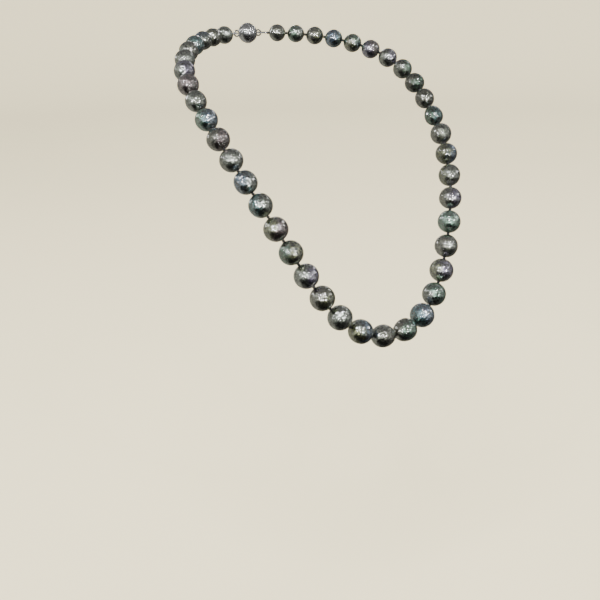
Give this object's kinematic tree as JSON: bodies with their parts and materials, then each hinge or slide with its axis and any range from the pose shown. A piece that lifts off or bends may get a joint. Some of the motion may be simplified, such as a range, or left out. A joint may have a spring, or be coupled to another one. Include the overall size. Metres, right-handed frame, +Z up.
{
  "type": "pearl necklace",
  "caption": "Graduated strand of dark, glossy, hand-knotted pearls, draped as worn, with a two-part magnetic ball clasp at the nape.",
  "frame": {"origin": "on the axis of the wearer's neck, level with the pearls that lie widest over the shoulders", "axes": "+Z up, -Y the wearer's front, where the largest pearls hang, +X the wearer's left"},
  "size_m": [0.1202, 0.124, 0.1245],
  "materials": {
    "nacre_taupe": "glossy dark nacre with a taupe overtone",
    "nacre_violet": "glossy dark nacre with a violet overtone",
    "nacre_silver": "glossy dark nacre with a silver overtone",
    "nacre_neutral": "glossy dark nacre with a neutral overtone",
    "nacre_green": "glossy dark nacre with a green overtone",
    "nacre_olive": "glossy dark nacre with a olive overtone",
    "nacre_blue": "glossy dark nacre with a blue overtone",
    "nacre_rose": "glossy dark nacre with a rose overtone",
    "silk": "doubled silk thread, hand knotted",
    "guard_wire": "fine coiled wire",
    "clasp_metal": "polished, rhodium coloured",
    "magnet_metal": "plated magnet disc"
  },
  "bodies": {
    "shoulders": {"pearl_l13": "nacre_green", "pearl_l14": "nacre_green", "pearl_l15": "nacre_neutral", "pearl_r13": "nacre_green", "pearl_r14": "nacre_taupe", "pearl_r15": "nacre_violet", "thread_shoulders": "silk"},
    "front_1": {"pearl_l11": "nacre_green", "pearl_l12": "nacre_taupe", "pearl_r11": "nacre_taupe", "pearl_r12": "nacre_blue", "thread_front_1": "silk"},
    "front_2": {"pearl_l9": "nacre_blue", "pearl_l10": "nacre_olive", "pearl_r9": "nacre_blue", "pearl_r10": "nacre_neutral", "thread_front_2": "silk"},
    "front_3": {"pearl_l7": "nacre_violet", "pearl_l8": "nacre_olive", "pearl_r7": "nacre_olive", "pearl_r8": "nacre_green", "thread_front_3": "silk"},
    "front_4": {"pearl_l5": "nacre_taupe", "pearl_l6": "nacre_silver", "pearl_r5": "nacre_silver", "pearl_r6": "nacre_green", "thread_front_4": "silk"},
    "front_5": {"pearl_l3": "nacre_silver", "pearl_l4": "nacre_violet", "pearl_r3": "nacre_silver", "pearl_r4": "nacre_neutral", "thread_front_5": "silk"},
    "front_6": {"pearl_l1": "nacre_rose", "pearl_l2": "nacre_blue", "pearl_r1": "nacre_taupe", "pearl_r2": "nacre_violet", "thread_front_6": "silk"},
    "back_l": {"pearl_l16": "nacre_violet", "pearl_l17": "nacre_olive", "pearl_l18": "nacre_blue", "thread_back_l": "silk"},
    "nape_l": {"pearl_l19": "nacre_taupe", "pearl_l20": "nacre_green", "pearl_l21": "nacre_neutral", "thread_nape_l": "silk", "guard_l": "guard_wire", "clasp_half_l": "clasp_metal", "magnet_l": "magnet_metal"},
    "back_r": {"pearl_r16": "nacre_silver", "pearl_r17": "nacre_neutral", "pearl_r18": "nacre_green", "thread_back_r": "silk"},
    "nape_r": {"pearl_r19": "nacre_blue", "pearl_r20": "nacre_olive", "pearl_r21": "nacre_neutral", "thread_nape_r": "silk", "guard_r": "guard_wire", "clasp_half_r": "clasp_metal", "magnet_r": "magnet_metal"}
  },
  "joints": [
    {"name": "front_lift_1", "type": "hinge", "parent": "shoulders", "child": "front_1", "pos_m": [0, -0.00593, -0.00475], "axis": [-1, 0, 0], "range_deg": [0, 25]},
    {"name": "front_lift_2", "type": "hinge", "parent": "front_1", "child": "front_2", "pos_m": [0, -0.02098, -0.01829], "axis": [-1, 0, 0], "range_deg": [0, 25]},
    {"name": "front_lift_3", "type": "hinge", "parent": "front_2", "child": "front_3", "pos_m": [0, -0.03413, -0.0338], "axis": [-1, 0, 0], "range_deg": [0, 25]},
    {"name": "front_lift_4", "type": "hinge", "parent": "front_3", "child": "front_4", "pos_m": [0, -0.04409, -0.0513], "axis": [-1, 0, 0], "range_deg": [0, 25]},
    {"name": "front_lift_5", "type": "hinge", "parent": "front_4", "child": "front_5", "pos_m": [0, -0.0514, -0.06984], "axis": [-1, 0, 0], "range_deg": [0, 25]},
    {"name": "front_lift_6", "type": "hinge", "parent": "front_5", "child": "front_6", "pos_m": [0, -0.05743, -0.08704], "axis": [-1, 0, 0], "range_deg": [0, 25]},
    {"name": "back_swing_l", "type": "hinge", "parent": "shoulders", "child": "back_l", "pos_m": [0.05059, 0.01803, 0.01102], "axis": [0, 0, -1], "range_deg": [0, 35]},
    {"name": "nape_swing_l", "type": "hinge", "parent": "back_l", "child": "nape_l", "pos_m": [0.03326, 0.03895, 0.01837], "axis": [0, 0, -1], "range_deg": [0, 35]},
    {"name": "back_swing_r", "type": "hinge", "parent": "shoulders", "child": "back_r", "pos_m": [-0.05059, 0.01803, 0.01102], "axis": [0, 0, 1], "range_deg": [0, 35]},
    {"name": "nape_swing_r", "type": "hinge", "parent": "back_r", "child": "nape_r", "pos_m": [-0.03326, 0.03895, 0.01837], "axis": [0, 0, 1], "range_deg": [0, 35]}
  ]
}
